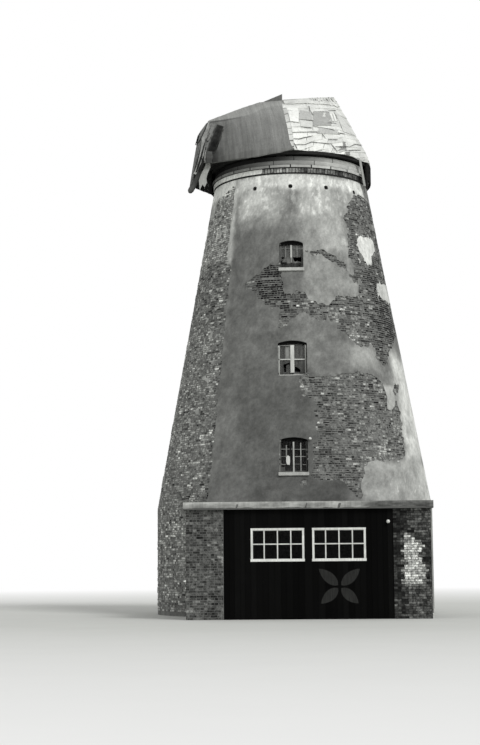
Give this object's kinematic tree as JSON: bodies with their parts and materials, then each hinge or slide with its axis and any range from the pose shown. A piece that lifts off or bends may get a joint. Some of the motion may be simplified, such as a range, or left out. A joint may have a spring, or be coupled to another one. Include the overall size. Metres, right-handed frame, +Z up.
{
  "type": "tower windmill",
  "caption": "Disused round brick tower windmill: battered walls with broken render, a boat-shaped cap that turns on its curb, and a flat-roofed boarded annex.",
  "frame": {"origin": "middle of the round tower at ground level, on the underside of the ground floor slab", "axes": "+Z up the tower's axis, -Y towards the annex and the front windows, +X to the right seen from the front"},
  "size_m": [10.0979, 11.985, 19.59],
  "materials": {
    "rendered_brick": "old soft brickwork, bare where the render has gone",
    "cement_render": "weathered cement render, broken away in patches",
    "annex_brick": "tarred and whitewashed brickwork, worn",
    "rowlock_brick": "bare brick on edge",
    "stone_ledge": "weathered stone band",
    "concrete": "worn screed",
    "floor_boards": "old floor boards",
    "white_paint": "weathered white paint on timber",
    "window_glass": "dusty window glass",
    "sill_stone": "pale stone",
    "door_planks": "tarred planks",
    "black_boards": "black tarred boards",
    "flat_roof_felt": "roofing felt on boards",
    "fascia_felt": "weathered felt edge on a board",
    "curb_timber": "grey weathered timber",
    "cap_timber": "dark old timber",
    "gable_timber": "silvered split boards",
    "skirt_timber": "dark boards",
    "roof_felt": "bitumen felt on boards",
    "roof_sheets": "pale roof slates and sheets on boards"
  },
  "bodies": {
    "tower": {"annex_fascia": "fascia_felt", "annex_floor": "concrete", "annex_front": "black_boards", "annex_glass": "window_glass", "annex_pier_left": "annex_brick", "annex_pier_right": "annex_brick", "annex_roof": "flat_roof_felt", "annex_wall_left": "annex_brick", "annex_wall_right": "annex_brick", "annex_window_left": "white_paint", "annex_window_right": "white_paint", "curb_ledge": "stone_ledge", "curb_ring": "curb_timber", "ground_floor": "concrete", "lower_floor": "floor_boards", "middle_floor": "floor_boards", "rear_door": "door_planks", "rear_door_frame": "door_planks", "rear_tower_glass": "window_glass", "rear_window_lower": "white_paint", "rear_window_middle": "white_paint", "rear_window_sills": "sill_stone", "rear_window_top": "white_paint", "render_coat": "cement_render", "rowlock_course": "rowlock_brick", "top_floor": "floor_boards", "tower_glass": "window_glass", "wall_front": "rendered_brick", "wall_front_left": "rendered_brick", "wall_front_right": "rendered_brick", "wall_left": "rendered_brick", "wall_rear": "rendered_brick", "wall_rear_left": "rendered_brick", "wall_rear_right": "rendered_brick", "wall_right": "rendered_brick", "window_lower": "white_paint", "window_middle": "white_paint", "window_sills": "sill_stone", "window_top": "white_paint"},
    "cap": {"cap_ring": "cap_timber", "felt_flap": "roof_felt", "felt_roof_far": "roof_felt", "felt_roof_near": "roof_felt", "front_skirt": "skirt_timber", "gable_boards": "gable_timber", "gable_rails": "cap_timber", "hanging_plank": "gable_timber", "rafters": "cap_timber", "ridge_beam": "cap_timber", "sheers": "cap_timber", "slate_roof_far": "roof_sheets", "slate_roof_near": "roof_sheets", "slide_blocks": "cap_timber", "tail_beam": "cap_timber", "tail_brace": "cap_timber", "tail_skirt": "skirt_timber", "verge_boards": "gable_timber"}
  },
  "joints": [
    {"name": "cap_turn", "type": "hinge", "parent": "tower", "child": "cap", "pos_m": [0, 0, 16.4], "axis": [0, 0, 1], "continuous": true}
  ]
}
